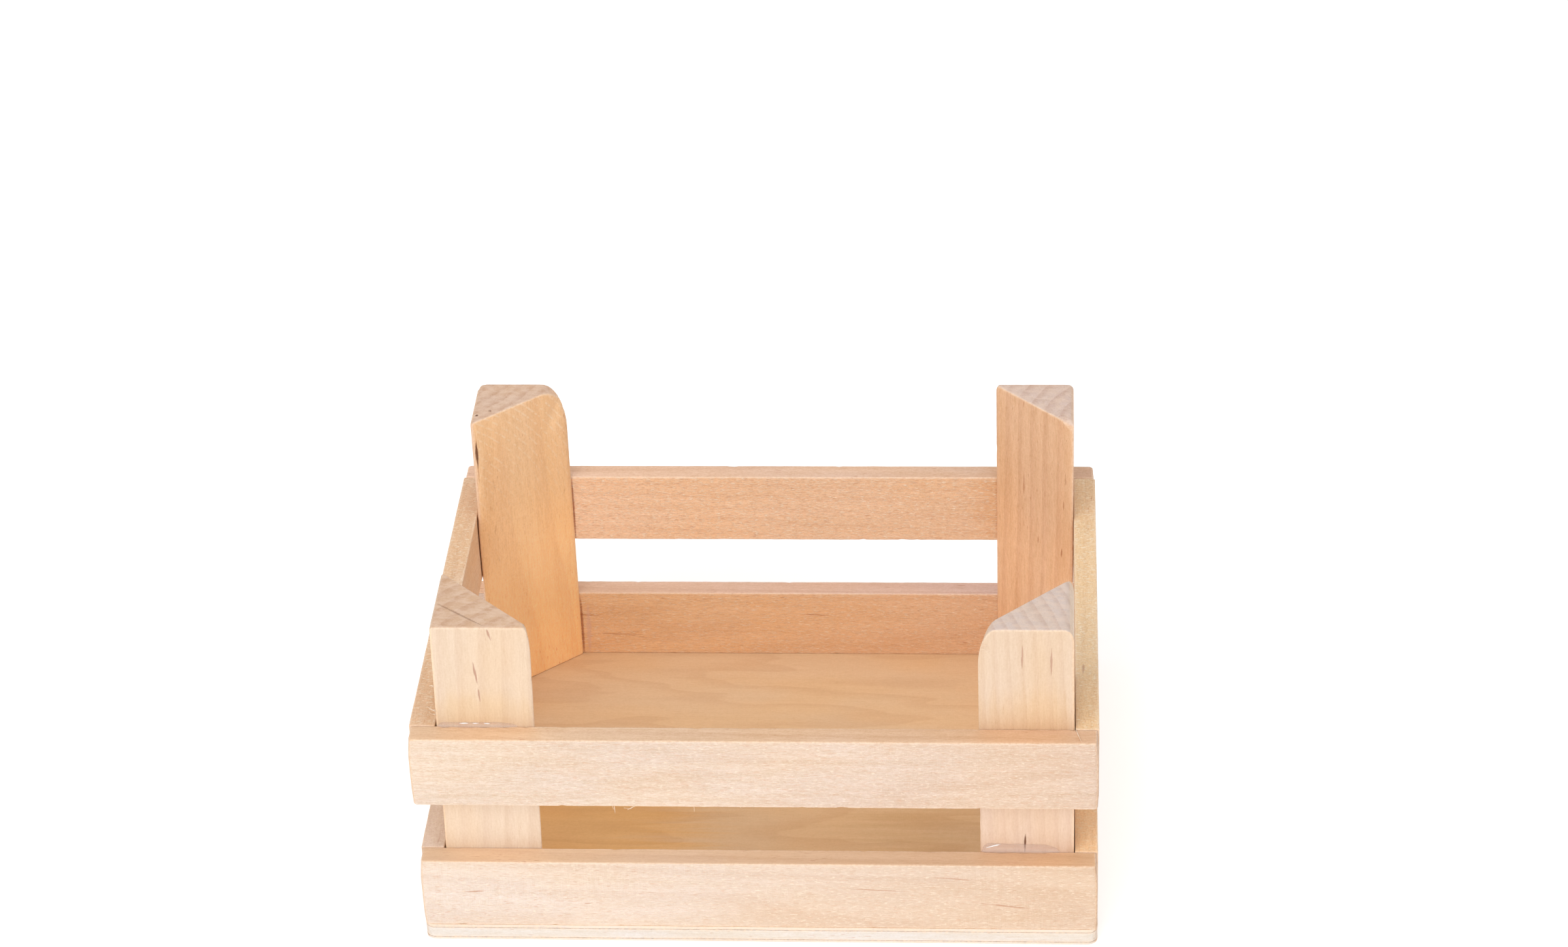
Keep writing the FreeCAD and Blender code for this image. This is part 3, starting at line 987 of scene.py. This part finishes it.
PLIES = {
    "base_bottom_ply": (
        "base_veneer",
        {"face": tint(232, 206, 178), "side": tint(222, 214, 206), "end_rings": 0.06},
    ),
    "base_core_ply": (
        "base_core",
        {
            "face": tint(222, 214, 206), "side": tint(222, 214, 206), "end": tint(218, 204, 192),
            "rings": 0.04, "end_rings": 0.06,
        },
    ),
    "base_top_ply": (
        "base_veneer",
        {
            "face": tint(227, 194, 155), "side": tint(224, 212, 200), "heart": (0.0, -47.5, 400.0),
            "end_rings": 0.06,
            # Painted shade and warm reflected light on the base towards the front, under the front slats:
            # more orange at the left, darker to the right.
            "stains_and_painted_light": (
                ((24.0, 30.0, 0.75), (34.0, 24.0, 40.0), gain(1.08, 0.94, 0.66)),
                ((72.0, 32.0, 0.75), (40.0, 20.0, 40.0), gain(0.98, 0.94, 0.88)),
                ((110.0, 32.0, 0.75), (34.0, 22.0, 40.0), gain(0.9, 0.88, 0.82)),
            ),
            "ring_gap": 1.5, "wander": 9.0, "rings": 0.12, "chatter": 0.0, "fuzz": 0.0,
            "fleck": 0.12, "streaks": 0.5,
        },
    ),
}


def make_ply(node, number):
    """One layer of the base, with its edge sunk by a hair, and a dark line where it meets another."""
    low, high = node_corners(node)
    slot, look = PLIES[node]
    thickness = high[Z] - low[Z]
    lines = [grid_lines(low[axis], high[axis], PLY_STEP, ROUND_LINES) for axis in (X, Y)]
    edges = VENEER_LINES if thickness < VENEER_MOST else EDGE_LINES
    points, faces = lattice(*lines, grid_lines(low[Z], high[Z], PLY_RISE_STEP, edges))
    edge_gap = block_edge_distance(points, low, high)
    radius = np.clip(PLY_EDGE + PLY_UNEVEN * ripple(points, 1.5, number), *PLY_RADIUS_LIMITS)
    points = soften_block(points, low, high, np.full(len(points), PLY_CORNER), radius)
    share = block_share(points, low, high)
    sunk = 0.04 + 0.04 * ripple(points * np.array([1, 1, 0]), 5.0, number)
    for axis in (X, Y):
        points[:, axis] -= share[:, axis] ** PLY_END_POWER * sunk
    nodes = list(PLIES)
    joints = []
    if node != nodes[0]:
        joints.append(0.0)
    if node != nodes[-1]:
        joints.append(thickness)
    material = wood_material(node, number, high[X] - low[X], joints=joints, **look)
    piece = make_mesh(node + "_wood", points, faces, material, [node])
    add_wood_layers(piece, points - low, [X, Y, Z], (0.0, 0.0, 1.0), edge_gap)
    return piece


# ---- glue

# A bead's section, as shares of its reach out along one wall and up the other.
GLUE_PROFILE = (
    (0.0, 0.0), (1.0, 0.0), (0.9, 0.08), (0.6, 0.2),
    (0.36, 0.4), (0.2, 0.66), (0.12, 0.92), (0.0, 1.0),
)
GLUE_STEP = 0.3
GLUE_FEWEST = 20
GLUE_THINNEST = 0.06


def tube_faces(rings, count):
    """The faces of a closed tube whose points come in rings of that count, with both of its ends shut."""
    faces = [list(range(count))[::-1]]
    for first in range(0, (rings - 1) * count, count):
        for i in range(count):
            j = (i + 1) % count
            faces.append([first + i, first + j, first + count + j, first + count + i])
    last = (rings - 1) * count
    return faces + [list(range(last, last + count))]


def make_glue(node, run, number, film):
    """A bead of squeezed-out glue in a corner. It runs along one axis, and film says how high it creeps."""
    low, high = node_corners(node)
    legs = high - low
    wall, rise = (Y, Z) if run == X else (X, Y)
    stations = np.linspace(0, 1, max(GLUE_FEWEST, round(legs[run] / GLUE_STEP)))
    points = []
    for share in stations:
        place = share * legs[run]
        end_fade = min(1.0, 14 * share, 6 * (1 - share)) ** 0.5
        out = end_fade * (0.6 + 0.25 * noise.noise(Vector((place / 2.4, number, 0.0))))
        up = end_fade * (film(share) + 0.18 * noise.noise(Vector((place / 2.0, 0.0, number))))
        for away, high_up in GLUE_PROFILE:
            point = np.zeros(3)
            point[run] = low[run] + place
            point[wall] = high[wall] - legs[wall] * max(GLUE_THINNEST, out) * away
            climb = legs[rise] * max(GLUE_THINNEST, up) * high_up
            point[rise] = low[rise] + climb if rise == Z else high[rise] - climb
            points.append(point)
    faces = tube_faces(len(stations), len(GLUE_PROFILE))
    if run != X:
        faces = [face[::-1] for face in faces]
    return make_mesh(node + "_bead", np.array(points), faces, GLUE, [node])


# ---- loose fibres

FIBRE_SIDES = 3

# How thick a fibre is at each share of its length.
FIBRE_TAPER = ((0.0, 1.0), (0.35, 0.85), (0.7, 0.6), (1.0, 0.12))


def fibre(root, along, lift, length, width, curl=0.35):
    """One thin closed fibre that lies along a direction and curls up at its free end."""
    side = np.cross(along, lift)
    points = []
    for share, size in FIBRE_TAPER:
        middle = root + along * length * share + lift * length * curl * share**2
        for corner in range(FIBRE_SIDES):
            angle = 2 * math.pi * corner / FIBRE_SIDES
            points.append(middle + width * size * (math.cos(angle) * side + math.sin(angle) * lift))
    return points, tube_faces(len(FIBRE_TAPER), FIBRE_SIDES)


def make_fibres(name, fibres):
    """Fibres joined into one piece."""
    points, faces = [], []
    for more_points, more_faces in fibres:
        first = len(points)
        points.extend(more_points)
        faces.extend([first + i for i in face] for face in more_faces)
    return make_mesh(name, np.array(points), faces, FIBRES, [])


FUZZ_COUNTS = {"front": 60, "back": 170, "left": 170, "right": 170}
FUZZ_MARGIN = 6.0
FUZZ_SUNK = 0.1
FUZZ_TURN = 0.35
FUZZ_LENGTHS = (0.3, 1.3)
FUZZ_WIDTHS = (0.025, 0.045)


def face_fuzz(node, side, seed):
    """Short fibres that lie on the inner face of a slat, more or less along its grain."""
    low, high = node_corners(node)
    run, thick = slat_axes(side)
    inner = low[thick] if low[thick] > 0 else high[thick]
    lift = np.zeros(3)
    lift[thick] = -math.copysign(1.0, inner)
    random = np.random.default_rng(seed)
    made = []
    for _ in range(FUZZ_COUNTS[side]):
        root = np.empty(3)
        root[run] = random.uniform(low[run] + FUZZ_MARGIN, high[run] - FUZZ_MARGIN)
        root[thick] = inner - FUZZ_SUNK * lift[thick]
        root[Z] = random.uniform(low[Z] + 0.3, high[Z] - 0.1)
        turn = random.normal(0, FUZZ_TURN) + random.choice([0, math.pi])
        along = np.zeros(3)
        along[run], along[Z] = math.cos(turn), math.sin(turn)
        made.append(fibre(root, along, lift, random.uniform(*FUZZ_LENGTHS), random.uniform(*FUZZ_WIDTHS)))
    return made


# Root, direction, length and width of each larger fibre, in millimetres in the crate's frame.
LOOSE_ENDS = {
    "fibres_upper_front_edge": (
        ((-26.9, -47.2, 32.9), (0.25, -0.05, -1.0), 1.3, 0.06),
        ((-26.5, -47.2, 32.9), (0.1, -0.05, -1.0), 2.1, 0.07),
        ((-24.7, -47.2, 32.1), (1.0, -0.05, -0.05), 1.6, 0.06),
        ((-24.0, -47.2, 31.7), (0.8, -0.05, 0.55), 2.5, 0.08),
        ((-11.4, -47.2, 32.9), (0.1, -0.05, -1.0), 1.7, 0.06),
        ((-3.0, -47.2, 32.8), (0.7, -0.05, -0.5), 1.0, 0.05),
    ),
    "fibres_upper_front_top": (
        ((60.6, -43.2, 48.05), (0.24, -0.97, 0.0), 4.1, 0.14),
        ((59.0, -47.0, 47.95), (1.0, -0.03, 0.0), 1.6, 0.06),
    ),
    "fibres_front_left_post": (
        ((-59.4, -43.1, 57.3), (-0.8, -0.3, 0.45), 1.1, 0.09),
        ((-59.5, -43.1, 51.4), (-0.7, -0.3, 0.7), 2.2, 0.11),
        ((-59.5, -43.1, 51.8), (-0.95, -0.2, 0.2), 1.3, 0.08),
        ((-59.5, -43.1, 50.6), (-0.8, -0.3, 0.5), 1.6, 0.08),
    ),
    "fibres_front_right_post": (
        ((44.2, -43.2, 67.4), (-0.95, -0.05, -0.3), 1.6, 0.05),
        ((44.0, -43.2, 66.6), (-0.97, -0.05, -0.25), 1.4, 0.045),
        ((44.6, -43.2, 66.0), (-0.97, -0.05, -0.2), 0.9, 0.04),
    ),
}


LOOSE_CURL = 0.06


def make_loose_ends():
    """The few larger fibres that hang from cut edges at the front."""
    for name, ends in LOOSE_ENDS.items():
        made = []
        for root, along, length, width in ends:
            along = np.array(along) / np.linalg.norm(along)
            lift = np.cross(along, (0.0, -1.0, 0.0) if abs(along[Y]) < 0.9 else (1.0, 0.0, 0.0))
            lift /= np.linalg.norm(lift)
            made.append(fibre(np.array(root), along, lift, length, width, curl=LOOSE_CURL))
        make_fibres(name, made)


# ---- the crate

GLUE = glue_material()
FIBRES = fibre_material()

SIDES = ("front", "back", "left", "right")
LEVELS = ("lower", "upper")

number = 1
for level in LEVELS:
    for side in SIDES:
        make_slat(level, side, number)
        node = level + "_" + side + "_slat"
        make_fibres("fibres_" + node, face_fuzz(node, side, number))
        number += 1

make_loose_ends()

for node in POST_LOOKS:
    make_post(node, number)
    number += 1

for node in PLIES:
    make_ply(node, number)
    number += 1

make_glue("glue_front_left", X, 1, lambda share: 1.15)
make_glue("glue_front_right", X, 2, lambda share: 2.6 - 0.5 * share)
make_glue("glue_back_left", Z, 3, lambda share: 0.8)


# ---- camera, light and floor

# Place and lens in millimetres, turns in degrees.
CAMERA_PLACE = (54.54, -649.22, 498.58)
CAMERA_HEADING = -4.399
CAMERA_DOWN = 32.925
CAMERA_ROLL = -2.289
CAMERA_LENS = 92.51
CAMERA_SENSOR = 36.0
CAMERA_CLIP = (0.01, 20.0)


def make_camera():
    """A long lens from the front, above and slightly to the right, tipped a little to one side."""
    heading = math.radians(CAMERA_HEADING)
    down = math.radians(CAMERA_DOWN)
    roll = math.radians(CAMERA_ROLL)
    ahead = Vector((math.sin(heading) * math.cos(down), math.cos(heading) * math.cos(down), -math.sin(down)))
    level = ahead.cross(Vector((0, 0, 1))).normalized()
    right = math.cos(roll) * level + math.sin(roll) * level.cross(ahead)
    up = right.cross(ahead)
    turn = Matrix((right, up, -ahead)).transposed().to_4x4()
    data = bpy.data.cameras.new("camera")
    data.lens = CAMERA_LENS
    data.sensor_width = CAMERA_SENSOR
    data.clip_start, data.clip_end = CAMERA_CLIP
    camera = add_object("camera", data)
    camera.matrix_world = Matrix.Translation(Vector(CAMERA_PLACE) * MM) @ turn
    bpy.context.scene.camera = camera


# Name, place and size in metres, power in watts, and colour.
LIGHTS = (
    ("key", (-0.75, -1.25, 1.15), 1.5, 19.0, (1.0, 0.99, 0.97)),
    ("fill", (1.1, -1.0, 0.8), 1.3, 6.0, (1.0, 1.0, 1.0)),
    ("top", (0.1, 0.1, 1.4), 1.0, 5.0, (1.0, 1.0, 1.0)),
)
CRATE_MIDDLE = (0.0, 0.0, 0.03)


def make_light(name, place, size, power, colour):
    """A square soft light, aimed at the middle of the crate."""
    data = bpy.data.lights.new(name, "AREA")
    data.size = size
    data.energy = power
    data.color = colour
    light = add_object(name, data)
    light.location = place
    aim = Vector(CRATE_MIDDLE) - Vector(place)
    light.rotation_euler = aim.to_track_quat("-Z", "Y").to_euler()


# In metres. The floor also glows a little, so that it comes out as white as a lit studio ground.
FLOOR_REACH = 3.0
FLOOR_LEVEL = -0.0001
FLOOR_GREY = (0.86, 0.86, 0.86, 1.0)
FLOOR_GLOW = 0.36


def make_floor():
    """A wide white floor just under the crate."""
    mesh = bpy.data.meshes.new("floor")
    corners = ((-1, -1), (1, -1), (1, 1), (-1, 1))
    points = [(x * FLOOR_REACH, y * FLOOR_REACH, FLOOR_LEVEL) for x, y in corners]
    mesh.from_pydata(points, [], [(0, 1, 2, 3)])
    floor = add_object("floor", mesh)
    shader = Shader("floor")
    shader.set(Base_Color=FLOOR_GREY, Roughness=0.9, Specular_IOR_Level=0.1)
    shader.set(Emission_Color=WHITE, Emission_Strength=FLOOR_GLOW)
    mesh.materials.append(shader.material)


WORLD_STRENGTH = 0.44


def make_world():
    """Even white light from all round."""
    world = bpy.data.worlds.new("studio")
    world.use_nodes = True
    background = world.node_tree.nodes["Background"]
    background.inputs["Color"].default_value = WHITE
    background.inputs["Strength"].default_value = WORLD_STRENGTH
    bpy.context.scene.world = world


make_camera()
make_floor()
make_world()
for light in LIGHTS:
    make_light(*light)
bpy.context.scene.view_settings.view_transform = "Standard"
